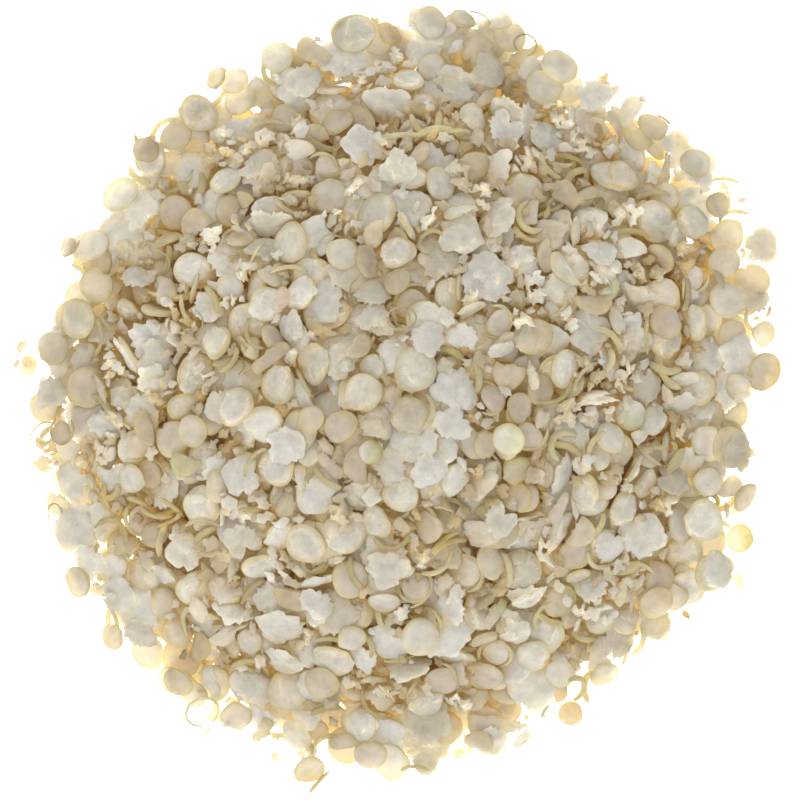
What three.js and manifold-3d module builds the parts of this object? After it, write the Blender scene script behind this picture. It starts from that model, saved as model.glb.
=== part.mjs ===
// A loose round heap of quinoa flakes on a flat surface: rolled grains, some still round discs and some
// torn into wider ragged flakes, with a few curled germs among them. Millimetres, +Z up, and the origin is
// on the surface under the middle of the heap. The heap is one piece: a plain dome, a little smaller than
// the food, with the flakes that show fused onto it at their true size.
import * as THREE from "three";
import { mergeVertices } from "three/addons/utils/BufferGeometryUtils.js";
import Module from "manifold-3d";

// The heap as a whole.
const FOOT_RADIUS = 26.7; // mean radius of the outline on the surface
const CORE_HEIGHT = 12.6; // top of the plain dome, under the flakes
const CORE_INSET = 1.3; // how far the dome's edge lies inside the outline
const CROWN = 1.8; // how round the heap's top is: 1 would be a cone's point
const SPREAD = 1.2; // how far its foot runs out: 1 would meet the surface without a curve
// The outline is a circle with a few slow waves: [waves round the heap, height in mm, degrees to a crest].
const OUTLINE_WAVES = [
  [1, 0.59, 54],
  [2, 0.79, 61],
  [5, 0.23, 33],
  [6, 0.27, 26],
  [7, 0.34, 24],
];

// The flakes.
const FLAKE_THICKNESS = 0.5;
const DISC_DIAMETER = [2.1, 2.9]; // a rolled grain that stayed round
const RAGGED_DIAMETER = [2.9, 3.7]; // a thinner flake with a torn edge
const RAGGED_SHARE = 0.5;
const DISC_SIDES = 7;
const RAGGED_SIDES = 6;
const TEAR = 0.24; // how far a torn edge is drawn in, as a share of the radius
const CORNER_JITTER = 0.15; // how unevenly its corners stand round it, as a share of a side
const BITE = 0.16; // how deep a flake's low edge is sunk into the dome
const SEED = 20;

// Flakes spread over the dome.
const COVER_COUNT = 162;
const COVER_REACH = 0.97; // how far out they go, as a share of the dome's radius
const COVER_LEAN = [4, 34]; // degrees that they lean from the heap's own slope
const GOLDEN_ANGLE = Math.PI * (3 - Math.sqrt(5));

// Flakes that lie round the foot.
const RIM_COUNT = 46;
const RIM_INSET = [0.6, 1.9]; // how far their middles lie inside the outline
const RIM_LEAN = [0, 16];
const RIM_JITTER = 0.3; // how unevenly they follow each other, as a share of their spacing

// Strays, which lie flat a little outside the outline: [degrees round from +X, mm from the middle, diameter
// in mm]. The ones wider than a disc are torn.
const STRAYS = [
  [4, 26.9, 3.0],
  [23, 28.3, 3.1],
  [64, 27.4, 2.9],
  [75, 28.0, 2.1],
  [80, 27.8, 2.4],
  [85, 27.4, 2.4],
  [97, 26.6, 2.9],
  [119, 26.3, 2.2],
  [135, 25.4, 2.1],
  [175, 26.4, 2.2],
  [210, 26.5, 2.5],
  [220, 26.7, 2.1],
  [232, 26.2, 2.3],
  [257, 27.2, 2.6],
  [299, 26.0, 2.1],
  [338, 26.8, 2.2],
];

// A round flake joins each stray to the rest: it lies on the way in, and reaches half way under the stray.
const LINK_DIAMETER = 2.8;
const LINK_SHIFT = 0.7 * LINK_DIAMETER; // between its middle and the stray's

// The dome's grid, coarse because the flakes hide most of it.
const RINGS = 8;
const SECTORS = 32;
const LUMP = 0.22; // how far the dome's own lumps rise and fall
const NORMAL_STEP = 0.05; // the distance over which its slope is measured
const WELD = 1e-4; // points nearer than this become one

const wasm = await Module();
wasm.setup();

function randomSource(seed) {
  let state = seed;
  return () => {
    state = (state + 0x6d2b79f5) | 0;
    let mixed = Math.imul(state ^ (state >>> 15), 1 | state);
    mixed = (mixed + Math.imul(mixed ^ (mixed >>> 7), 61 | mixed)) ^ mixed;
    return ((mixed ^ (mixed >>> 14)) >>> 0) / 4294967296;
  };
}
const random = randomSource(SEED);
const between = (low, high) => low + (high - low) * random();

function outlineRadius(angle) {
  return OUTLINE_WAVES.reduce(
    (radius, [waves, height, crest]) =>
      radius + height * Math.cos(waves * (angle - THREE.MathUtils.degToRad(crest))),
    FOOT_RADIUS,
  );
}

// The plain dome's height over a point of the surface.
function domeHeight(x, y) {
  const edge = outlineRadius(Math.atan2(y, x)) - CORE_INSET;
  const share = Math.min(1, Math.hypot(x, y) / edge);
  return CORE_HEIGHT * (1 - share ** CROWN) ** SPREAD;
}

function domeNormal(x, y) {
  if (domeHeight(x, y) === 0) return new THREE.Vector3(0, 0, 1);
  const fallX = domeHeight(x - NORMAL_STEP, y) - domeHeight(x + NORMAL_STEP, y);
  const fallY = domeHeight(x, y - NORMAL_STEP) - domeHeight(x, y + NORMAL_STEP);
  return new THREE.Vector3(fallX, fallY, 2 * NORMAL_STEP).normalize();
}

// The dome as rings of points round its top, closed by a flat base.
function domeGeometry() {
  const points = [0, 0, CORE_HEIGHT];
  for (let ring = 1; ring <= RINGS; ring++) {
    for (let sector = 0; sector < SECTORS; sector++) {
      const angle = ((sector + (ring % 2) / 2) / SECTORS) * 2 * Math.PI;
      const radius = (outlineRadius(angle) - CORE_INSET) * (ring / RINGS);
      const x = radius * Math.cos(angle);
      const y = radius * Math.sin(angle);
      const lump = ring < RINGS ? between(-LUMP, LUMP) : 0;
      points.push(x, y, Math.max(0, domeHeight(x, y) + lump));
    }
  }
  points.push(0, 0, 0);
  const at = (ring, sector) => (ring === 0 ? 0 : 1 + (ring - 1) * SECTORS + (sector % SECTORS));
  const baseCentre = points.length / 3 - 1;
  const faces = [];
  for (let sector = 0; sector < SECTORS; sector++) {
    faces.push(0, at(1, sector), at(1, sector + 1));
    faces.push(baseCentre, at(RINGS, sector + 1), at(RINGS, sector));
    for (let ring = 1; ring < RINGS; ring++) {
      const skew = ring % 2; // every other ring is turned by half a sector
      const inner = [at(ring, sector), at(ring, sector + 1)];
      const outer = [at(ring + 1, sector), at(ring + 1, sector + 1)];
      if (skew) faces.push(inner[0], outer[0], outer[1], inner[0], outer[1], inner[1]);
      else faces.push(inner[0], outer[0], inner[1], inner[1], outer[0], outer[1]);
    }
  }
  return new THREE.BufferGeometry()
    .setAttribute("position", new THREE.Float32BufferAttribute(points, 3))
    .setIndex(faces);
}

const dome = new THREE.Mesh(domeGeometry());
const probe = new THREE.Raycaster();

// One flake, lying flat round its own middle. A torn one is drawn in between its points.
function flakeGeometry(diameter, torn) {
  const shape = new THREE.Shape();
  const sides = torn ? RAGGED_SIDES : DISC_SIDES;
  for (let side = 0; side < sides; side++) {
    const angle = ((side + between(-CORNER_JITTER, CORNER_JITTER)) / sides) * 2 * Math.PI;
    const radius = (diameter / 2) * (torn ? 1 - TEAR * random() : 1);
    shape[side ? "lineTo" : "moveTo"](radius * Math.cos(angle), radius * Math.sin(angle));
  }
  return new THREE.ExtrudeGeometry(shape, { depth: FLAKE_THICKNESS, bevelEnabled: false })
    .translate(0, 0, -FLAKE_THICKNESS / 2);
}

function solidFrom(geometry) {
  const bare = geometry.clone();
  bare.deleteAttribute("normal");
  bare.deleteAttribute("uv");
  const merged = mergeVertices(bare, WELD);
  return new wasm.Manifold(
    new wasm.Mesh({
      numProp: 3,
      vertProperties: merged.getAttribute("position").array,
      triVerts: new Uint32Array(merged.index.array),
    }),
  );
}

// The height of what lies under a point: the dome, or the flat surface outside it.
function groundUnder(x, y) {
  probe.set(new THREE.Vector3(x, y, 2 * CORE_HEIGHT), new THREE.Vector3(0, 0, -1));
  const [hit] = probe.intersectObject(dome);
  return hit ? Math.max(0, hit.point.z - BITE) : 0;
}

// A flake lowered over x, y until its lowest corner is sunk in the dome, or stands on the flat surface.
function laidFlake(x, y, { diameter, torn }, lean) {
  const upright = new THREE.Vector3(0, 0, 1);
  const hinge = new THREE.Vector3(1, 0, 0).applyAxisAngle(upright, between(0, 2 * Math.PI));
  const turn = new THREE.Quaternion()
    .setFromUnitVectors(upright, domeNormal(x, y))
    .multiply(new THREE.Quaternion().setFromAxisAngle(hinge, THREE.MathUtils.degToRad(lean)));
  const flake = flakeGeometry(diameter, torn).applyQuaternion(turn).translate(x, y, 0);
  const corners = flake.getAttribute("position");
  let rise = -Infinity;
  for (let i = 0; i < corners.count; i++) {
    rise = Math.max(rise, groundUnder(corners.getX(i), corners.getY(i)) - corners.getZ(i));
  }
  return flake.translate(0, 0, rise);
}

function randomFlakeSize() {
  const torn = random() < RAGGED_SHARE;
  return { torn, diameter: between(...(torn ? RAGGED_DIAMETER : DISC_DIAMETER)) };
}

// Evenly spread places on the dome, by the rule that sets the seeds in a sunflower's head.
function spreadPlaces(count, reach) {
  return Array.from({ length: count }, (_, i) => {
    const angle = i * GOLDEN_ANGLE;
    const radius = (outlineRadius(angle) - CORE_INSET) * reach * Math.sqrt((i + 0.5) / count);
    return [radius * Math.cos(angle), radius * Math.sin(angle)];
  });
}

function coverFlakes() {
  return spreadPlaces(COVER_COUNT, COVER_REACH).map(([x, y]) =>
    laidFlake(x, y, randomFlakeSize(), between(...COVER_LEAN)),
  );
}

function rimFlakes() {
  return Array.from({ length: RIM_COUNT }, (_, i) => {
    const angle = ((i + between(-RIM_JITTER, RIM_JITTER)) / RIM_COUNT) * 2 * Math.PI;
    const radius = outlineRadius(angle) - between(...RIM_INSET);
    const [x, y] = [radius * Math.cos(angle), radius * Math.sin(angle)];
    return laidFlake(x, y, randomFlakeSize(), between(...RIM_LEAN));
  });
}

// Each stray with its link.
function strayFlakes() {
  return STRAYS.flatMap(([degrees, distance, diameter]) => {
    const angle = THREE.MathUtils.degToRad(degrees);
    const flat = (radius, size) => laidFlake(radius * Math.cos(angle), radius * Math.sin(angle), size, 0);
    return [
      flat(distance, { diameter, torn: diameter > DISC_DIAMETER[1] }),
      flat(distance - LINK_SHIFT, { diameter: LINK_DIAMETER, torn: false }),
    ];
  });
}

function heapGeometry() {
  const flakes = [...coverFlakes(), ...rimFlakes(), ...strayFlakes()];
  const joined = wasm.Manifold.union([dome.geometry, ...flakes].map(solidFrom));
  // The largest outer shell: sealed hollows between flakes are filled by leaving their shells out.
  const [whole] = joined.decompose().sort((a, b) => b.volume() - a.volume());
  const mesh = whole.getMesh();
  return new THREE.BufferGeometry()
    .setAttribute("position", new THREE.BufferAttribute(mesh.vertProperties, 3))
    .setIndex(new THREE.BufferAttribute(mesh.triVerts, 1));
}

const quinoa = new THREE.MeshStandardMaterial({ color: "#d6c8a8", roughness: 0.85, metalness: 0 });
const heap = new THREE.Mesh(heapGeometry(), quinoa);
heap.name = "flake_heap";
// The origin is under the middle of the heap's bounding box, which the strays move a little off the outline's.
heap.geometry.computeBoundingBox();
const middle = heap.geometry.boundingBox.getCenter(new THREE.Vector3());
heap.position.set(-middle.x, -middle.y, 0);

const quinoaFlakes = new THREE.Group();
quinoaFlakes.add(heap);
export default quinoaFlakes;
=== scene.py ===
"""A loose round heap of quinoa flakes on a bright white surface, seen from straight above.

Each kind of flake is modelled many times over. The flakes are then laid one after another on a map of
heights, so that each comes to rest on those below it, and joined into one mesh for each kind. Lengths are
in millimetres until a mesh is made.
"""
import math
from collections import namedtuple

import bmesh
import bpy
import numpy as np
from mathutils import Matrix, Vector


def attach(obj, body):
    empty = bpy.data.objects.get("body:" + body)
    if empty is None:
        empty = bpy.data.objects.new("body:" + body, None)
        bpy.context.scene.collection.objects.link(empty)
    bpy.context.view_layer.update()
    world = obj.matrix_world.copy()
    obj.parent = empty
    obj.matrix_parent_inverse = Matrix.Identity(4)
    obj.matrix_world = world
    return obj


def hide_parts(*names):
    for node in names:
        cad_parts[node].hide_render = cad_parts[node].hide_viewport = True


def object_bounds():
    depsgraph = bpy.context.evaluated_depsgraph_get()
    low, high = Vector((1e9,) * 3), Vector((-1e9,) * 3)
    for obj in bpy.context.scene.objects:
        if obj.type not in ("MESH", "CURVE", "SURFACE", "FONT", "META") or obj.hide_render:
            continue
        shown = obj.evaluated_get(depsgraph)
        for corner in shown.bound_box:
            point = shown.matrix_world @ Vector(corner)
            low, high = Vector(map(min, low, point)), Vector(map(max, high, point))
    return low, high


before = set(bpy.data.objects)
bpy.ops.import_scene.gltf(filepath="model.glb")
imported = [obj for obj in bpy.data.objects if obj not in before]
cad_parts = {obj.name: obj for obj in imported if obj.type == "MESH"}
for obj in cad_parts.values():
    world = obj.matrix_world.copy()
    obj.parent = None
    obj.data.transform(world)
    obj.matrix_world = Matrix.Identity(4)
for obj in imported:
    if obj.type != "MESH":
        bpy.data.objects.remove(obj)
cad_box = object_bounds()

SEED = 20
random = np.random.default_rng(SEED)

METRE = 0.001  # one millimetre
TURN = 2 * math.pi

# ---------------------------------------------------------------- the heap's form, as the solid has it

FOOT_CENTRE = np.array([-0.455, -0.40])  # the outline's middle, which isn't quite the bounding box's
FOOT_RADIUS = 26.7
DOME_HEIGHT = 12.6
DOME_INSET = 1.3
CROWN = 1.8
SPREAD = 1.2
# The outline is a circle with a few slow waves: (waves round the heap, height, degrees to a crest).
OUTLINE_WAVES = [(1, 0.59, 54), (2, 0.79, 61), (5, 0.23, 33), (6, 0.27, 26), (7, 0.34, 24)]

# Flakes that lie apart at the heap's edge, by kind: (x and y from the outline's middle, width).
STRAYS = {
    "disc": [
        (-13.0, 23.0, 2.1), (-0.5, 26.2, 2.0), (2.4, 26.9, 2.7), (4.7, 27.2, 2.1), (7.4, 27.0, 2.0),
        (11.6, 23.7, 2.9), (21.4, 16.8, 2.4), (26.4, 4.6, 2.0), (26.3, 1.9, 3.1), (25.0, -7.1, 2.6),
        (14.9, -19.9, 2.3), (12.5, -22.7, 2.0), (-1.9, -25.6, 2.6), (-6.3, -26.7, 2.6), (-15.7, -20.4, 2.4),
        (-20.5, -17.2, 2.0), (-22.9, -13.2, 2.5), (-24.6, 3.5, 2.4), (-18.0, 17.8, 2.1),
    ],
    "torn": [
        (26.2, 10.9, 3.1), (25.9, 7.0, 2.4), (24.5, -3.9, 3.2), (23.2, -12.4, 3.4), (9.0, -24.5, 2.0),
        (2.0, -25.9, 2.5), (-25.5, -4.8, 1.7), (-24.9, 0.4, 3.4),
    ],
    "stack": [(-26.5, 2.3, 1.6)],
    "capped": [(-3.1, 26.2, 3.3), (-22.8, 5.7, 3.2)],
    "ringed": [(24.4, 1.0, 2.6), (-24.0, -2.5, 2.5), (-23.6, 10.8, 2.4)],
    "chip": [
        (-27.5, 2.5, 0.9), (-26.9, 3.6, 1.0), (24.4, -13.2, 1.2), (5.8, -24.9, 2.3), (-14.1, -21.2, 1.2),
        (-20.6, -14.2, 1.3),
    ],
    "curl": [
        (6.1, 27.4, 2.0), (19.2, 20.0, 1.2), (10.6, -22.6, 2.2), (1.2, -26.5, 2.3), (-5.6, -27.6, 2.2),
    ],
    "skin": [(9.2, 25.4, 1.9), (-14.0, -22.5, 2.8), (-24.7, -8.1, 2.0)],
    "shard": [
        (-5.7, 25.8, 0.9), (17.6, 21.5, 1.0), (26.8, 6.2, 1.1), (-8.8, -25.9, 0.9), (-12.3, -23.4, 1.0),
    ],
}
# Flakes that catch the eye on top of the heap, in the same form.
STANDOUTS = {
    "torn": [
        (-18.8, -4.5, 3.5), (-0.4, -12.2, 3.6), (2.2, 4.2, 3.1), (4.8, 4.5, 2.6), (3.8, -1.9, 3.3),
        (2.2, -5.2, 3.0), (6.3, 23.7, 3.0), (-5.5, -14.7, 2.9), (7.3, 3.4, 2.9), (-7.9, -3.5, 3.3),
        (7.4, -8.6, 2.9), (-6.5, 22.9, 3.0),
    ],
    "stack": [(0.2, 16.2, 3.2), (-0.1, 13.8, 3.5)],
    "capped": [(16.1, 15.8, 2.7), (21.1, 12.5, 2.9), (-11.3, -0.5, 3.0)],
    "ringed": [(-1.0, 1.6, 3.0)],
    "disc": [(1.5, -16.9, 2.9), (-3.2, -16.9, 2.5), (-5.3, -20.2, 2.6), (-3.8, 10.2, 2.4)],
}

# How much red, green and blue one side of a flake still returns: a discolouring, or on the strays painted
# shade.
NO_TINT = (1, 1, 1)
GREENISH = (0.88, 0.92, 0.73)
OLIVE = (0.80, 0.84, 0.58)
PINKISH = (1.0, 0.84, 0.78)
TAN = (0.97, 0.90, 0.78)
STRAY_PAINTED_SHADE = (0.89, 0.87, 0.80)  # painted shade on one side of each stray, which the bright floor would wash out
# The few whose colour is their own: (x, y, width, kind, tint).
ODD_ONES = [
    (24.6, -10.1, 2.1, "disc", OLIVE),
    (8.1, -3.0, 2.4, "disc", GREENISH),
    (20.0, -4.6, 2.3, "chip", GREENISH),
    (-14.9, -4.5, 2.3, "chip", GREENISH),
    (-2.1, -3.6, 1.9, "disc", OLIVE),
    (-5.0, 21.1, 1.4, "chip", OLIVE),
    (-8.4, 7.0, 1.9, "chip", PINKISH),
]

CREST = 1.15  # how far the top flakes reach above the dome
DEPTH = 2.6  # how far the core lies below the dome, with loose flakes between
CELL = 0.15  # the map of heights has a square cell of this size
MAP_REACH = 32.0  # from the middle of the map to its edge
BITE = 0.05  # how deep one flake's edge may press into another
HOLLOW = 1.6  # how deep the hollows in the heap's surface are
DEEPEST_HOLLOW = 1.3  # as a share of that
HOLLOW_WAVES = (3.2, 8)  # the shortest and the longest wave that make the hollows
FULL_HOLLOWS = 4  # where the dome is lower than this, they are shallower
WHITENESS_WAVES = (3, 12)
TOP = cad_box[1][2] / METRE  # no flake reaches above this
OUTSIDE = 9.0  # added to the height of a flake that slides too far out, so that it doesn't
SIGHT = 0.9  # how far below the heap's surface a flake may still be seen between others


def outline_radius(angle):
    radius = FOOT_RADIUS
    for waves, height, crest in OUTLINE_WAVES:
        radius = radius + height * np.cos(waves * (angle - math.radians(crest)))
    return radius


def dome_height(x, y):
    edge = outline_radius(np.arctan2(y, x)) - DOME_INSET
    share = np.minimum(1, np.hypot(x, y) / edge)
    return DOME_HEIGHT * (1 - share**CROWN) ** SPREAD


# ---------------------------------------------------------------- shapes of flakes

# points are rows of x, y, z; triangles are rows of point numbers; germ is 0 where a point is white meal and
# 1 where it is the yellow germ.
Shape = namedtuple("Shape", "points triangles germ")


def between(low, high):
    return random.uniform(low, high)


def joined(shapes):
    starts = np.cumsum([0] + [len(s.points) for s in shapes])
    return Shape(
        np.vstack([s.points for s in shapes]),
        np.vstack([s.triangles + start for s, start in zip(shapes, starts)]),
        np.concatenate([s.germ for s in shapes]),
    )


def banded(rows, sides):
    """Triangles between rows of points that run round alike, with a fan at the first point and the last."""
    triangles = []
    for row in range(rows - 1):
        for i in range(sides):
            a, b = 1 + row * sides + i, 1 + row * sides + (i + 1) % sides
            triangles += [(a, a + sides, b + sides), (a, b + sides, b)]
    last = 1 + rows * sides
    for i in range(sides):
        j = (i + 1) % sides
        triangles += [(0, 1 + i, 1 + j), (last, last - sides + j, last - sides + i)]
    return np.array(triangles)


def smoothed(outline):
    """An outline without its teeth: the mean over about a fifth of a turn."""
    reach = len(outline) // 10
    return np.mean([np.roll(outline, k) for k in range(-reach, reach + 1)], axis=0)


RAGGED_FROM = 0.97  # from this share of the outline outwards a ring has the outline's teeth


def polar_shape(outline, rings, half_thickness, shift=(0.0, 0.0)):
    """A flake as rings of points: from the middle of its top, over the edge, to the middle of its bottom.
    Each ring is (share of the outline, height as a share of half the thickness, germ). Inside a ragged edge
    the rings are smooth, and their middle is shifted off the flake's."""
    sides = len(outline)
    angle = np.arange(sides) * TURN / sides
    around = np.column_stack([np.cos(angle), np.sin(angle)])
    plain = smoothed(outline)
    points, germ = [[*shift, rings[0][1]]], [rings[0][2]]
    for share, height, yellow in rings:
        reach = outline * share
        if share < RAGGED_FROM:
            reach = np.minimum(plain * share, outline * (0.5 + 0.5 * share))
        flat = reach[:, None] * around + (1 - share**4) * np.array(shift)
        points += np.column_stack([flat, np.full(sides, height)]).tolist()
        germ += [yellow] * sides
    points.append([*shift, rings[-1][1]])
    germ.append(rings[-1][2])
    points = np.array(points) * [1, 1, half_thickness]
    return Shape(points, banded(len(rings), sides), np.array(germ, float))


def bent(shape, cup, saddle, crease=0.0):
    """Bends a flat flake: cup is how far its edge rises, saddle how far two sides rise and two fall."""
    points = shape.points.copy()
    reach = np.hypot(points[:, 0], points[:, 1]).max()
    turn = between(0, TURN)
    across = (points[:, 0] * math.cos(turn) + points[:, 1] * math.sin(turn)) / reach
    along = (points[:, 1] * math.cos(turn) - points[:, 0] * math.sin(turn)) / reach
    points[:, 2] += cup * (across**2 + along**2) + saddle * (across**2 - along**2) + crease * np.abs(across)
    return shape._replace(points=points)


def roughened(shape, amount):
    """Shifts each point a little, and those near the middle less, where they lie close together."""
    away = np.hypot(shape.points[:, 0], shape.points[:, 1])
    shifts = random.normal(0, amount, shape.points.shape) * [0.5, 0.5, 1]
    return shape._replace(points=shape.points + shifts * (away / away.max())[:, None])


RIPPLES = 8  # waves that add up to a flake's unevenness


def rippled(shape, amount, shortest, longest):
    """Raises and lowers a flake in small uneven waves, as dry flesh lies."""
    points = shape.points.copy()
    for _ in range(RIPPLES):
        pace, heading, start = TURN / between(shortest, longest), between(0, TURN), between(0, TURN)
        run = points[:, 0] * math.cos(heading) + points[:, 1] * math.sin(heading)
        points[:, 2] += amount * math.sqrt(2 / RIPPLES) * np.cos(pace * run + start)
    return shape._replace(points=points)


def moved(shape, offset, lean=(0.0, 0.0)):
    points = shape.points @ leaning(np.array([lean]))[0].T + offset
    return shape._replace(points=points)


def leaning(leans):
    """Matrices that turn by each level rotation vector, in radians."""
    angle = np.linalg.norm(leans, axis=1)
    x, y = (leans / np.maximum(angle, 1e-9)[:, None]).T
    c, s = np.cos(angle), np.sin(angle)
    k = 1 - c
    rows = [[c + x * x * k, x * y * k, y * s], [x * y * k, c + y * y * k, -x * s], [-y * s, x * s, c]]
    return np.array(rows).transpose(2, 0, 1)


def waved(sides, waves, amount):
    """An outline of 1 with slow uneven waves."""
    angle = np.arange(sides) * TURN / sides
    outline = np.ones(sides)
    for k in range(2, 2 + waves):
        outline += random.normal(0, amount / k) * np.cos(k * (angle + between(0, TURN)))
    return outline


def angle_from(sides, angle):
    """How far each corner of an outline is turned from an angle, from -pi to pi."""
    return (np.arange(sides) * TURN / sides - angle + math.pi) % TURN - math.pi


def bump(sides, height, width):
    """One bump on an outline, at an angle drawn by chance. Its width is in radians."""
    return height * np.exp(-((angle_from(sides, between(0, TURN)) / width) ** 2))


DISC_SIDES = 26
DISC_RINGS = [
    (0.45, 1.0, 0.0),
    (0.74, 0.95, 0.05),
    (0.81, 0.68, 0.5),
    (0.92, 0.62, 0.8),
    (0.99, 0.20, 1.0),
    (0.99, -0.45, 1.0),
    (0.90, -0.93, 0.9),
    (0.62, -1.0, 0.1),
]
ROOT_TIP = (0.16, 0.17)  # height as a share of the radius, and width in radians
ROOT_TIP_CHANCE = 0.2
CRACK = (0.22, 0.12)  # in from the edge, in the same form
CRACK_CHANCE = 0.15
OFF_MIDDLE = 0.13  # the most that a face lies off the middle, as a share of the diameter


def disc(diameter):
    """A grain rolled flat that stayed round: a white face, and a step down to the germ, its yellow rim."""
    outline = waved(DISC_SIDES, 3, 0.07)
    if random.random() < ROOT_TIP_CHANCE:
        outline += bump(DISC_SIDES, *ROOT_TIP)
    if random.random() < CRACK_CHANCE:
        outline -= bump(DISC_SIDES, *CRACK)
    heading = between(0, TURN)
    shift = between(0, OFF_MIDDLE) * diameter * np.array([math.cos(heading), math.sin(heading)])
    shape = polar_shape(outline * diameter / 2, DISC_RINGS, between(0.14, 0.23), shift)
    shape = bent(shape, between(-0.12, 0.18), between(0, 0.14), between(-0.1, 0.1))
    return roughened(rippled(shape, between(0.01, 0.03), 0.8, 2.0), 0.005)


TORN_SIDES = 36
TORN_RINGS = [
    (0.33, 1.0, 0.0),
    (0.62, 0.95, 0.0),
    (0.84, 0.75, 0.0),
    (0.95, 0.45, 0.05),
    (1.0, 0.0, 0.1),
    (0.72, -0.9, 0.15),
]
TORN_TEETH = 0.25  # the longest, as a share of the radius
SHORT_TEETH = 0.4  # those elsewhere, as a share of those where the edge tore most
MOST_BITES = 3
LEAST_RADIUS = 0.3  # what is left at the deepest bite


def torn_outline(sides, share, longest):
    """An outline with fine uneven teeth, longest round a share of it, and up to three bites out of it."""
    outline = waved(sides, 4, 0.20)
    near = np.abs(angle_from(sides, between(0, TURN))) < share * math.pi
    teeth = random.random(sides) ** 1.3 * longest
    outline -= np.where(near, teeth, teeth * SHORT_TEETH)
    for _ in range(random.integers(0, MOST_BITES + 1)):
        bite = angle_from(sides, between(0, TURN)) / between(0.10, 0.4)
        outline -= between(0.08, 0.36) * np.exp(-(bite**2))
    return np.maximum(outline, LEAST_RADIUS)


def torn(diameter):
    """A thin flake of white meal that burst at its edge, with its middle raised."""
    outline = torn_outline(TORN_SIDES, between(0.4, 1.0), TORN_TEETH)
    shape = polar_shape(outline * diameter / 2, TORN_RINGS, between(0.15, 0.23))
    shape = bent(shape, between(-0.50, 0.05), between(0, 0.22), between(-0.12, 0.12))
    return roughened(rippled(shape, between(0.025, 0.055), 0.5, 1.6), 0.026)


LAYER_STEP = 0.24  # from one layer of a stack up to the next


def stack(diameter):
    """Two or three torn layers that still hold together."""
    layers = [torn(diameter)]
    for level in range(random.integers(1, 3)):
        offset = [*random.normal(0, 0.1 * diameter, 2), LAYER_STEP * (level + 1)]
        layers.append(moved(torn(diameter * between(0.5, 0.8)), offset, random.normal(0, 0.14, 2)))
    return joined(layers)


CAP_HEIGHT = 0.22  # of the cap's middle above the disc's


def capped(diameter):
    """A round flake with a torn layer of white meal still on its face."""
    cap = torn(diameter * between(0.75, 1.0))
    return joined([disc(diameter), moved(cap, [*random.normal(0, 0.05 * diameter, 2), CAP_HEIGHT])])


CHIP_SIDES = 24
CHIP_RINGS = [(0.5, 1.0, 0.0), (0.84, 0.85, 0.3), (1.0, 0.1, 0.8), (0.86, -0.85, 0.7), (0.45, -1.0, 0.2)]
BREAK_ROUGHNESS = 0.18


def chip(diameter):
    """Part of a broken disc: half, or a wedge, with one or two ragged sides."""
    outline = waved(CHIP_SIDES, 3, 0.08)
    for _ in range(random.integers(1, 3)):
        away = np.cos(angle_from(CHIP_SIDES, between(0, TURN)))
        cut = between(0.1, 0.55) / np.maximum(away, 1e-3)
        cut *= 1 + BREAK_ROUGHNESS * random.normal(0, 1, CHIP_SIDES)
        outline = np.where(away > 0, np.minimum(outline, np.maximum(cut, 0.1)), outline)
    shape = polar_shape(outline * diameter / 2, CHIP_RINGS, between(0.13, 0.24))
    return roughened(rippled(bent(shape, between(-0.1, 0.25), between(0, 0.2)), 0.03, 0.5, 1.5), 0.012)


TUBE_SIDES = 7
END_SIZE = 0.45  # of a rod, as a share of its full size


def tube(radius, sweep, width, height, steps, rise, spiral=0.0):
    """A rod bent round an arc, tapered to both ends. rise lifts its far end and spiral draws it inwards."""
    share = np.linspace(0, 1, steps)
    angle = share * sweep
    reach = radius * (1 - spiral * share)
    taper = np.minimum(1, END_SIZE + 2.2 * np.minimum(share, 1 - share) ** 0.8)
    middle = np.column_stack([reach * np.cos(angle) - radius, reach * np.sin(angle), rise * share**2])
    outwards = np.column_stack([np.cos(angle), np.sin(angle), np.zeros(steps)])
    points = [middle[0]]
    for at, out, size in zip(middle, outwards, taper):
        for side in range(TUBE_SIDES):
            around = side * TURN / TUBE_SIDES
            up = [0, 0, height / 2 * size * math.sin(around)]
            points.append(at + out * width / 2 * size * math.cos(around) + up)
    points = np.array(points + [middle[-1]])
    points -= points.mean(axis=0)
    return Shape(points, banded(steps, TUBE_SIDES)[:, ::-1], np.ones(len(points)))


LONGEST_SWEEP = 4.4  # of a curl, in radians
CURL_STEPS = 13


def curl(length):
    """The germ, sprung loose as a bent rod."""
    radius = between(0.75, 2.6)
    sweep = min(length / radius, LONGEST_SWEEP)
    width = between(0.30, 0.56)
    height = width * between(0.5, 0.9)
    shape = tube(radius, sweep, width, height, CURL_STEPS, between(-0.2, 0.7), between(0, 0.25))
    return roughened(shape, 0.012)


def ringed(diameter):
    """A disc whose germ has come away from it as an open ring."""
    inner = bent(polar_shape(waved(DISC_SIDES, 3, 0.08) * diameter * 0.4, DISC_RINGS, 0.17), 0.08, 0.08)
    ring = tube(diameter * 0.48, between(3.6, 5.4), 0.30, 0.26, 20, between(0, 0.5))
    return joined([inner._replace(germ=inner.germ * 0.4), moved(ring, [0, 0, between(0, 0.15)])])


def skin(diameter):
    """A thread of the grain's skin, as an open hoop."""
    return tube(diameter / 2, between(2.5, 5.6), 0.13, 0.15, 16, between(0, 0.3), between(0, 0.2))


SHARD_SIDES = 13
SHARD_RINGS = [(0.6, 1.0, 0.0), (1.0, 0.2, 0.1), (0.6, -1.0, 0.1)]
SHARD_TEETH = 0.5


def shard(diameter):
    """A small flat angular scrap, broken off a torn flake."""
    outline = torn_outline(SHARD_SIDES, 1.0, SHARD_TEETH)
    shape = polar_shape(outline * diameter / 2, SHARD_RINGS, between(0.06, 0.14))
    shape.points[:, 1] *= between(0.5, 1.0)
    return roughened(rippled(bent(shape, between(-0.05, 0.2), between(0, 0.15)), 0.03, 0.5, 1.2), 0.010)


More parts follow.
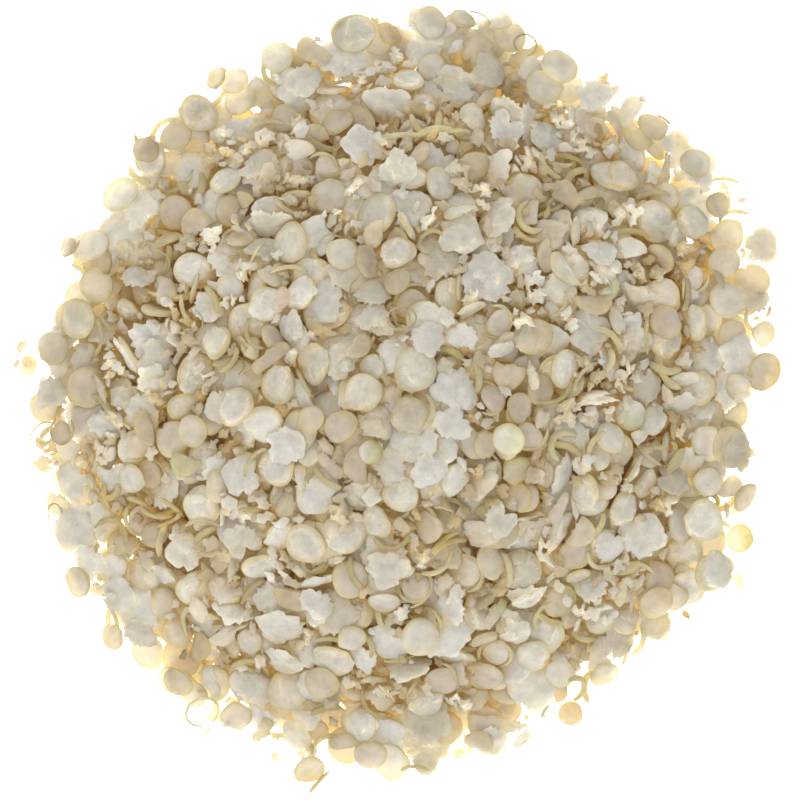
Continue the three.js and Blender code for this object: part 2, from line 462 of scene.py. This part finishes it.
def cluster(diameter):
    """Scraps of meal that cling together."""
    scraps = []
    for _ in range(random.integers(5, 9)):
        offset = [*random.normal(0, 0.2 * diameter, 2), between(-0.2, 0.3)]
        scraps.append(moved(shard(between(0.35, 0.6) * diameter), offset, random.normal(0, 0.45, 2)))
    return joined(scraps)


def crumb(diameter):
    """A rough scrap of white meal."""
    ball = bmesh.new()
    bmesh.ops.create_icosphere(ball, subdivisions=1, radius=diameter / 2)
    points = np.array([v.co for v in ball.verts])
    triangles = np.array([[v.index for v in f.verts] for f in ball.faces])
    ball.free()
    points *= random.uniform(0.55, 1.25, (len(points), 1))
    points *= [1, between(0.55, 1), between(0.3, 0.75)]
    return Shape(points, triangles, np.zeros(len(points)))


# How many of each kind are modelled, and between which sizes.
LIBRARY = {
    "disc": [disc(between(2.0, 2.9)) for _ in range(40)],
    "torn": [torn(between(2.6, 3.9)) for _ in range(40)],
    "capped": [capped(between(2.35, 3.2)) for _ in range(24)],
    "stack": [stack(between(2.6, 3.5)) for _ in range(14)],
    "chip": [chip(between(2.2, 3.0)) for _ in range(30)],
    "ringed": [ringed(between(2.4, 3.0)) for _ in range(12)],
    "curl": [curl(between(2.2, 4.2)) for _ in range(24)],
    "skin": [skin(between(1.6, 2.6)) for _ in range(8)],
    "shard": [shard(between(0.8, 1.9)) for _ in range(40)],
    "crumb": [crumb(between(0.35, 0.9)) for _ in range(30)],
    "cluster": [cluster(between(1.8, 2.9)) for _ in range(24)],
}
WHITE_KINDS = ("torn", "stack", "capped", "cluster", "shard", "crumb")
ONE_SIDE_UP = ("torn", "stack", "capped")
SCRAP_KINDS = ("shard", "crumb", "cluster")
GERM_KINDS = ("curl", "skin")
TINTED_KINDS = ("disc", "chip")
TINTS = [(0.025, GREENISH), (0.05, TAN)]  # (share of the tinted kinds, tint of one side)


# ---------------------------------------------------------------- laying the flakes

HALF = int(MAP_REACH / CELL)
axis = np.arange(-HALF, HALF + 1) * CELL
map_x, map_y = np.meshgrid(axis, axis)
dome = dome_height(map_x, map_y)
inside = outline_radius(np.arctan2(map_y, map_x)) - np.hypot(map_x, map_y)  # how far inside the outline


def lumps(shortest, longest, count=24):
    """An uneven field over the map, from about -1 to 1, as the sum of level waves."""
    field = np.zeros_like(map_x)
    for _ in range(count):
        pace, heading, start = TURN / between(shortest, longest), between(0, TURN), between(0, TURN)
        field += np.cos(pace * (map_x * math.cos(heading) + map_y * math.sin(heading)) + start)
    return field / math.sqrt(count)


hollows = np.clip(lumps(*HOLLOW_WAVES), 0, DEEPEST_HOLLOW)
ceiling = dome + CREST - HOLLOW * hollows * np.minimum(1, dome / FULL_HOLLOWS)
whiteness = lumps(*WHITENESS_WAVES)  # where the paler flakes lie together
ground = np.maximum(BITE, dome - DEPTH)

# Points inside a triangle, by the weights of its corners, near enough together to touch every cell.
WITHIN = np.array([(a, b, 6 - a - b) for a in (1, 2, 3, 4) for b in (1, 2, 3, 4) if a + b < 6]) / 6
COMPASS = np.array([(math.cos(a), math.sin(a)) for a in np.arange(8) * TURN / 8])

FIRST_TIP = math.radians(18)
LEAST_GAIN = 1e-3  # a step that lowers a flake by less isn't taken
SIZE_CHANGE = (0.94, 1.07)
MEAN_TONE = 0.45  # 0 is the palest colour of a kind and 1 the deepest
TONE_BY_PLACE = 0.3  # how much paler the flakes are in the white places
TONE_SPREAD = 0.35
KIND_BY_PLACE = 1.3  # how strongly the white kinds keep to the white places
PLACES_DRAWN = 5

Laid = namedtuple("Laid", "kind shape turn scale place tone tint")
laid = []


def cells_under(flat):
    cells = np.rint(flat / CELL).astype(int) + HALF
    return cells[..., 1], cells[..., 0]


def resting_height(points, turns, places):
    """How high a flake's middle comes to lie when it is lowered, for each turn and place."""
    turned = np.einsum("kij,nj->kni", turns, points)
    under = ground[cells_under(turned[..., :2] + places[:, None])]
    return (under - turned[..., 2]).max(axis=1) - BITE


def settle(points, place, lean, effort, slide, inset):
    """Tips and slides a flake by smaller and smaller steps, to where it lies lowest over the dome."""
    tip = FIRST_TIP

    def over_dome(places, leans):
        heights = resting_height(points, leaning(leans), places)
        under = cells_under(places)
        return heights - dome[under] + OUTSIDE * (inside[under] < inset), heights

    best, height = (value[0] for value in over_dome(place[None], lean[None]))
    for _ in range(effort):
        leans = np.vstack([lean + tip * COMPASS, np.tile(lean, (8, 1))])
        places = np.vstack([np.tile(place, (8, 1)), place + slide * COMPASS])
        over, heights = over_dome(places, leans)
        pick = over.argmin()
        if over[pick] < best - LEAST_GAIN:
            best, height, lean, place = over[pick], heights[pick], leans[pick], places[pick]
        else:
            tip, slide = tip / 2, slide / 2
    return best, height, lean, place


def stamp(shape, turn, scale, place):
    """Raises the map of heights to a flake's top."""
    points = shape.points * scale @ turn.T + place
    dense = np.einsum("wc,tcj->twj", WITHIN, points[shape.triangles]).reshape(-1, 3)
    np.maximum.at(ground, cells_under(dense[:, :2]), dense[:, 2])


def lay(kind, place, steepest, effort, limit, slide=0.45, inset=-3.0, width=None, tint=None):
    """Lets a flake of a kind come to rest near a place, if it then stays below the limit over the dome.
    steepest is the most that it leans at first, in radians, and effort is how many steps it may take."""
    shape = LIBRARY[kind][random.integers(len(LIBRARY[kind]))]
    size = between(*SIZE_CHANGE)
    if width:
        size = width / (2 * np.hypot(*shape.points[:, :2].T).max())
    flip = 1 if kind in ONE_SIDE_UP else random.choice([-1, 1])
    yaw = between(0, TURN)
    # A half turn about a level line shows the flake's other side.
    spin = np.array([[math.cos(yaw), -math.sin(yaw), 0], [math.sin(yaw), math.cos(yaw), 0], [0, 0, 1]])
    spin = spin @ np.diag([1, flip, flip])
    points = shape.points * size @ spin.T
    direction = between(0, TURN)
    lean = steepest * math.sqrt(random.random()) * np.array([math.cos(direction), math.sin(direction)])
    over, height, lean, place = settle(points, np.array(place, float), lean, effort, slide, inset)
    if over > limit:
        return
    turn = leaning(lean[None])[0] @ spin
    paler = TONE_BY_PLACE * whiteness[cells_under(place)]
    tone = np.clip(MEAN_TONE - paler + random.normal(0, TONE_SPREAD), 0, 1)
    place = np.array([*place, height])
    if (points @ leaning(lean[None])[0].T + place)[:, 2].max() > TOP:
        return
    laid.append(Laid(kind, shape, turn, size, place, tone, tint or drawn_tint(kind)))
    stamp(shape, turn, size, place)


def drawn_tint(kind):
    draw = random.random()
    for share, colour in TINTS:
        if 0 <= draw < share and kind in TINTED_KINDS:
            return colour
        draw -= share
    return NO_TINT


def shows(flake):
    """Whether any of a flake lies near enough under the heap's surface to be seen."""
    points = flake.shape.points * flake.scale @ flake.turn.T + flake.place
    return bool((points[:, 2] > ground[cells_under(points[:, :2])] - SIGHT).any())


def open_place(margin, inset, bare):
    """A place where the ground is far below the ceiling: the lowest of a few drawn by chance. bare asks for
    a place on the floor."""
    room = ceiling - ground
    free = np.flatnonzero((room > margin) & (inside > inset) & ((ground <= BITE) | (not bare)))
    if not len(free):
        return None
    drawn = random.choice(free, PLACES_DRAWN)
    row, column = np.unravel_index(drawn[room.flat[drawn].argmax()], room.shape)
    return np.array([axis[column], axis[row]])


def fill(kinds, count, margin, inset, steepest, effort, limit, slide=0.45, bare=False):
    """Lays flakes of mixed kinds in the open places. kinds is {kind: share} and steepest is in degrees."""
    names, shares = list(kinds), np.array(list(kinds.values()))
    white = np.array([name in WHITE_KINDS for name in names])
    for _ in range(count):
        place = open_place(margin, inset, bare)
        if place is None:
            return
        favour = np.exp(KIND_BY_PLACE * whiteness[cells_under(place)])
        chances = shares * np.where(white, favour, 1)
        kind = random.choice(names, p=chances / chances.sum())
        lay(kind, place, math.radians(steepest), random.integers(2, effort + 1), limit, slide, inset)


MIX = {
    "disc": 0.13,
    "torn": 0.24,
    "capped": 0.17,
    "stack": 0.06,
    "cluster": 0.10,
    "chip": 0.10,
    "ringed": 0.05,
    "curl": 0.08,
    "shard": 0.07,
}
FINE_MIX = {"crumb": 0.10, "shard": 0.42, "cluster": 0.12, "chip": 0.14, "curl": 0.17, "skin": 0.05}
FOOT_MIX = {"disc": 0.32, "torn": 0.38, "capped": 0.10, "chip": 0.14, "curl": 0.06}
DUST_MIX = {"shard": 0.7, "crumb": 0.3}


def lay_heap():
    """The foot, the bulk with the flakes that catch the eye, the fine ones in its gaps, and the strays."""
    fill(FOOT_MIX, 420, margin=0.9, inset=0.8, steepest=20, effort=3, limit=0.9, slide=0.12, bare=True)
    fill(MIX, 2700, margin=1.0, inset=1.0, steepest=54, effort=7, limit=0.6)
    for kind, places in STANDOUTS.items():
        for x, y, width in places:
            lay(kind, [x, y], steepest=0.15, effort=5, limit=1.6, slide=0.1, width=width)
    fill(MIX, 300, margin=1.0, inset=1.0, steepest=54, effort=7, limit=0.6)
    fill(FINE_MIX, 650, margin=0.8, inset=0.5, steepest=45, effort=6, limit=0.8)
    for x, y, width, kind, colour in ODD_ONES:
        lay(kind, [x, y], steepest=0.3, effort=4, limit=2.0, slide=0.1, width=width, tint=colour)
    fill(FOOT_MIX, 250, margin=0.5, inset=0.8, steepest=12, effort=2, limit=1.5, slide=0.1, bare=True)
    fill(DUST_MIX, 260, margin=0.3, inset=1.0, steepest=40, effort=4, limit=1.0)
    for kind, places in STRAYS.items():
        for x, y, width in places:
            # One side of each stray gets painted shade.
            lay(kind, [x, y], steepest=0.05, effort=4, limit=3.0, slide=0, width=width, tint=STRAY_PAINTED_SHADE)


lay_heap()
laid = [flake for flake in laid if shows(flake)]


# ---------------------------------------------------------------- meshes


def linear(*srgb):
    """A colour given as the eye names it, from 0 to 255, in the renderer's own numbers."""
    value = np.array(srgb) / 255
    return np.where(value <= 0.04045, value / 12.92, ((value + 0.055) / 1.055) ** 2.4)


# The palest and the deepest colour of each kind's meal and germ, and the warm painted shade of what lies
# buried among the flakes.
WHITE_MEAL = linear(238, 235, 226), linear(219, 211, 191)
SCRAP_MEAL = linear(237, 234, 224), linear(199, 182, 144)
CREAM_MEAL = linear(238, 234, 225), linear(212, 198, 176)
RIM_GERM = linear(230, 220, 184), linear(211, 196, 149)
CURL_GERM = linear(225, 216, 176), linear(206, 191, 138)
# Painted shade: how much red, green and blue still comes back from flakes that lie deep in the heap.
BURIED_PAINTED_SHADE = np.array([0.955, 0.795, 0.475])
LIT_DEPTH = 0.4  # down to here under the heap's surface a flake keeps its own colour, without painted shade
PAINTED_SHADE_DEPTH = 1.2  # this much further down, the painted shade is full


def flake_colours(flake, points):
    """The colour of each point of a flake: meal to germ, each from pale to deep by the flake's tone, with a
    tint or painted shade on one side, and with painted shade where it lies deep under the heap's surface.
    """
    if flake.kind in SCRAP_KINDS:
        meal_from, meal_to = SCRAP_MEAL
    else:
        meal_from, meal_to = WHITE_MEAL if flake.kind in WHITE_KINDS else CREAM_MEAL
    meal = meal_from + (meal_to - meal_from) * flake.tone
    germ_from, germ_to = CURL_GERM if flake.kind in GERM_KINDS else RIM_GERM
    germ = germ_from + (germ_to - germ_from) * flake.tone
    colours = meal + (germ - meal) * flake.shape.germ[:, None]
    # Painted shade: the deeper a point lies under the heap's surface, the darker and warmer it is.
    painted_shade_share = np.clip((ceiling[cells_under(points[:, :2])] - LIT_DEPTH - points[:, 2]) / PAINTED_SHADE_DEPTH, 0, 1)
    # One side takes the flake's tint: a discolouring, or on the strays painted shade.
    side = flake.shape.points[:, 0]
    patch = np.clip(0.6 + 1.2 * side / side.max(), 0, 1)
    tint = 1 + (np.array(flake.tint) - 1) * patch[:, None]
    return colours * tint * (1 + (BURIED_PAINTED_SHADE - 1) * painted_shade_share[:, None])


STAIN = (0.95, 0.87, 0.73)  # how much red, green and blue comes back from a tan stain
PAINTED_GLOW = 0.048  # painted glow: each flake gives off this much light of its own colour, for what the flakes round it shine into it from all sides


GLOW_COLOUR = (1.0, 0.92, 0.66)  # how far red, green and blue spread in a flake, as shares of its glow
SHINE = 0.3
NOISE_DETAIL = 2
MOTTLE_SIZE = 0.9
MOTTLE_SHADES = (0.88, 1.07)  # how much light comes back from the darkest and the palest of the mottle
STAIN_SIZE = 2.6
# Each pattern runs from 0 to 1, and matters only between these two values of it.
MOTTLE_SPAN = (0.3, 0.7)
STAIN_SPAN = (0.60, 0.78)
# The last span sets where the painted shade in the relief's hollows falls.
PIT_SHADE_SPAN = (0.27, 0.40)


def noise(tree, where, size):
    """An uneven pattern with lumps of about this size."""
    texture = tree.nodes.new("ShaderNodeTexNoise")
    texture.inputs["Scale"].default_value = 1 / (size * METRE)
    texture.inputs["Detail"].default_value = NOISE_DETAIL
    tree.links.new(where.outputs["Object"], texture.inputs["Vector"])
    return texture.outputs["Fac"]


def stretched(tree, pattern, span, result):
    """A pattern with its values inside a span stretched over the result."""
    stretch = tree.nodes.new("ShaderNodeMapRange")
    for field, value in zip(("From Min", "From Max", "To Min", "To Max"), (*span, *result)):
        stretch.inputs[field].default_value = value
    tree.links.new(pattern, stretch.inputs["Value"])
    return stretch.outputs["Result"]


def dimmed(tree, colour, share):
    """A colour times a pattern."""
    product = tree.nodes.new("ShaderNodeVectorMath")
    product.operation = "SCALE"
    tree.links.new(colour, product.inputs[0])
    tree.links.new(share, product.inputs["Scale"])
    return product.outputs["Vector"]


def stained(tree, colour, where):
    """A colour with a tan stain here and there."""
    mix = tree.nodes.new("ShaderNodeMix")
    mix.data_type = "RGBA"
    mix.blend_type = "MULTIPLY"
    mix.inputs["B"].default_value = (*STAIN, 1)
    strength = stretched(tree, noise(tree, where, STAIN_SIZE), STAIN_SPAN, (0, 1))
    tree.links.new(strength, mix.inputs["Factor"])
    tree.links.new(colour, mix.inputs["A"])
    return mix.outputs["Result"]


def dry_flake_material(name, roughness, glow, grain, relief, pit_shade):
    """Matt translucent meal with a faint painted glow: the colour of each point, mottled, over fine relief.
    glow is how far light spreads in it, grain and relief are how wide and high the relief is, and the last
    argument is how much light comes back from the deepest of the relief, where shade is painted."""
    material = bpy.data.materials.new(name)
    material.use_nodes = True
    tree = material.node_tree
    shader = tree.nodes["Principled BSDF"]
    shader.subsurface_method = "BURLEY"
    shader.inputs["Roughness"].default_value = roughness
    shader.inputs["Specular IOR Level"].default_value = SHINE
    shader.inputs["Subsurface Weight"].default_value = 1.0
    shader.inputs["Subsurface Radius"].default_value = GLOW_COLOUR
    shader.inputs["Subsurface Scale"].default_value = glow * METRE
    # A painted glow: the flake gives off a little light of its own colour.
    shader.inputs["Emission Strength"].default_value = PAINTED_GLOW

    own_colour = tree.nodes.new("ShaderNodeAttribute")
    own_colour.attribute_name = "flake_colour"
    where = tree.nodes.new("ShaderNodeTexCoord")
    lumps_of_meal = noise(tree, where, grain)
    mottling = stretched(tree, noise(tree, where, MOTTLE_SIZE), MOTTLE_SPAN, MOTTLE_SHADES)
    mottled = dimmed(tree, own_colour.outputs["Color"], mottling)
    # Painted shade: the deepest of the fine relief is darker, as if in shadow.
    pit_shaded = dimmed(tree, mottled, stretched(tree, lumps_of_meal, PIT_SHADE_SPAN, (pit_shade, 1)))
    colour = stained(tree, pit_shaded, where)
    tree.links.new(colour, shader.inputs["Base Color"])
    # The painted glow has the flake's own colour.
    tree.links.new(colour, shader.inputs["Emission Color"])

    height = tree.nodes.new("ShaderNodeBump")
    height.inputs["Strength"].default_value = 1.0
    height.inputs["Distance"].default_value = relief * METRE
    tree.links.new(lumps_of_meal, height.inputs["Height"])
    tree.links.new(height.outputs["Normal"], shader.inputs["Normal"])
    return material


def mesh_piece(name, points, triangles, colours, material, sharp_from):
    mesh = bpy.data.meshes.new(name)
    mesh.from_pydata(points * METRE, [], triangles.tolist())
    attribute = mesh.attributes.new("flake_colour", "FLOAT_COLOR", "POINT")
    attribute.data.foreach_set("color", np.column_stack([colours, np.ones(len(colours))]).ravel())
    mesh.shade_smooth()
    mesh.set_sharp_from_angle(angle=math.radians(sharp_from))
    mesh.materials.append(material)
    piece = bpy.data.objects.new(name, mesh)
    bpy.context.scene.collection.objects.link(piece)
    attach(piece, "root")
    return piece


def flakes_piece(name, flakes, material, sharp_from):
    """One mesh of many laid flakes."""
    points, triangles, colours, start = [], [], [], 0
    for flake in flakes:
        points.append(flake.shape.points * flake.scale @ flake.turn.T + flake.place)
        triangles.append(flake.shape.triangles + start)
        colours.append(flake_colours(flake, points[-1]))
        start += len(flake.shape.points)
    points = np.vstack(points) + [*FOOT_CENTRE, 0]
    mesh_piece(name, points, np.vstack(triangles), np.vstack(colours), material, sharp_from)


SMOOTH_FINISH = dry_flake_material("rolled_grain", 0.62, 1.0, 0.28, 0.035, 0.93)
MEALY_FINISH = dry_flake_material("white_meal", 0.85, 0.6, 0.24, 0.05, 0.90)
GERM_FINISH = dry_flake_material("germ", 0.55, 1.1, 0.35, 0.02, 0.95)

# Each piece is (name, kind of flake, material, degrees from which an edge is sharp).
for name, kind, material, sharp_from in [
    ("round_flakes", "disc", SMOOTH_FINISH, 60),
    ("torn_flakes", "torn", MEALY_FINISH, 40),
    ("capped_flakes", "capped", MEALY_FINISH, 40),
    ("flake_stacks", "stack", MEALY_FINISH, 40),
    ("broken_flakes", "chip", SMOOTH_FINISH, 40),
    ("ringed_flakes", "ringed", SMOOTH_FINISH, 60),
    ("germ_curls", "curl", GERM_FINISH, 60),
    ("scrap_clusters", "cluster", MEALY_FINISH, 30),
    ("shards", "shard", MEALY_FINISH, 30),
    ("crumbs", "crumb", MEALY_FINISH, 30),
    ("skin_threads", "skin", GERM_FINISH, 60),
]:
    flakes_piece(name, [flake for flake in laid if flake.kind == kind], material, sharp_from)

# ---------------------------------------------------------------- the core

CORE_RINGS = 60
CORE_SIDES = 120
CORE_LUMP = 0.12
# Painted shade: the dark tan of flakes in shadow deep in the heap.
CORE_SHADE_COLOUR = linear(188, 148, 96)


def core_piece():
    """What lies under the loose flakes: a plain mound with an uneven surface, in the painted shade of
    flakes deep in the heap.
    """
    angle = np.arange(CORE_SIDES) * TURN / CORE_SIDES
    shares = np.linspace(0, 1, CORE_RINGS + 1)[1:]
    # The core ends where the dome is DEPTH high.
    reach = (1 - (DEPTH / DOME_HEIGHT) ** (1 / SPREAD)) ** (1 / CROWN)
    edge = reach * (outline_radius(angle) - DOME_INSET)
    points = [[0, 0, DOME_HEIGHT - DEPTH]]
    for share in shares:
        x, y = share * edge * np.cos(angle), share * edge * np.sin(angle)
        lump = random.normal(0, CORE_LUMP, CORE_SIDES) * (share < 1)
        z = np.maximum(0, dome_height(x, y) - DEPTH + lump)
        points += np.column_stack([x, y, z]).tolist()
    points.append([0, 0, 0])
    points = np.array(points)
    points += [*FOOT_CENTRE, 0]
    colours = np.tile(CORE_SHADE_COLOUR, (len(points), 1))
    piece = mesh_piece("heap_core", points, banded(CORE_RINGS, CORE_SIDES), colours, MEALY_FINISH, 180)
    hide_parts("flake_heap")


core_piece()

# ---------------------------------------------------------------- stage, light and camera

PIXEL = 0.072  # what one pixel of the picture covers on the surface
PICTURE = 800 * PIXEL
OFF_CENTRE = np.array([3, -2]) * PIXEL  # of the picture's middle from the heap's
CAMERA_HEIGHT = 400.0
SENSOR = 36.0


def make_camera():
    camera = bpy.data.objects.new("camera", bpy.data.cameras.new("camera"))
    camera.data.sensor_width = SENSOR
    camera.data.lens = SENSOR * CAMERA_HEIGHT / PICTURE
    camera.data.clip_start = 0.01
    camera.data.clip_end = 10
    # With no turn at all it looks straight down and has +Y at the top of the picture.
    x, y = FOOT_CENTRE + OFF_CENTRE
    camera.location = (x * METRE, y * METRE, CAMERA_HEIGHT * METRE)
    bpy.context.scene.collection.objects.link(camera)
    bpy.context.scene.camera = camera


FLOOR_HALF = 3000.0
FLOOR_SHINE = 1.1  # the floor is itself a weak source of light


def make_floor():
    mesh = bpy.data.meshes.new("floor")
    half = FLOOR_HALF * METRE
    corners = [(-half, -half, 0), (half, -half, 0), (half, half, 0), (-half, half, 0)]
    mesh.from_pydata(corners, [], [(0, 1, 2, 3)])
    floor = bpy.data.objects.new("floor", mesh)
    bpy.context.scene.collection.objects.link(floor)
    material = bpy.data.materials.new("white_floor")
    material.use_nodes = True
    shader = material.node_tree.nodes["Principled BSDF"]
    shader.inputs["Base Color"].default_value = (0.9, 0.9, 0.9, 1)
    shader.inputs["Roughness"].default_value = 0.6
    shader.inputs["Emission Color"].default_value = (1, 1, 1, 1)
    shader.inputs["Emission Strength"].default_value = FLOOR_SHINE
    mesh.materials.append(material)


def make_light(name, place, size, watts):
    """A round soft light that faces the heap."""
    lamp = bpy.data.lights.new(name, "AREA")
    lamp.shape = "DISK"
    lamp.size = size * METRE
    lamp.energy = watts
    light = bpy.data.objects.new(name, lamp)
    light.location = [value * METRE for value in place]
    light.rotation_euler = light.location.to_track_quat("Z", "Y").to_euler()
    bpy.context.scene.collection.objects.link(light)


SKY = 0.18  # how bright the even light from all round is


def make_studio():
    world = bpy.data.worlds.new("studio")
    world.use_nodes = True
    world.node_tree.nodes["Background"].inputs["Color"].default_value = (1, 1, 1, 1)
    world.node_tree.nodes["Background"].inputs["Strength"].default_value = SKY
    bpy.context.scene.world = world
    make_light("top", (-40, -60, 640), 260, 0.74)
    make_light("front", (-40, -400, 430), 320, 0.95)
    make_light("back", (-120, 350, 430), 320, 0.54)
    bpy.context.scene.view_settings.view_transform = "Standard"
    bpy.context.scene.view_settings.look = "None"


make_floor()
make_studio()
make_camera()
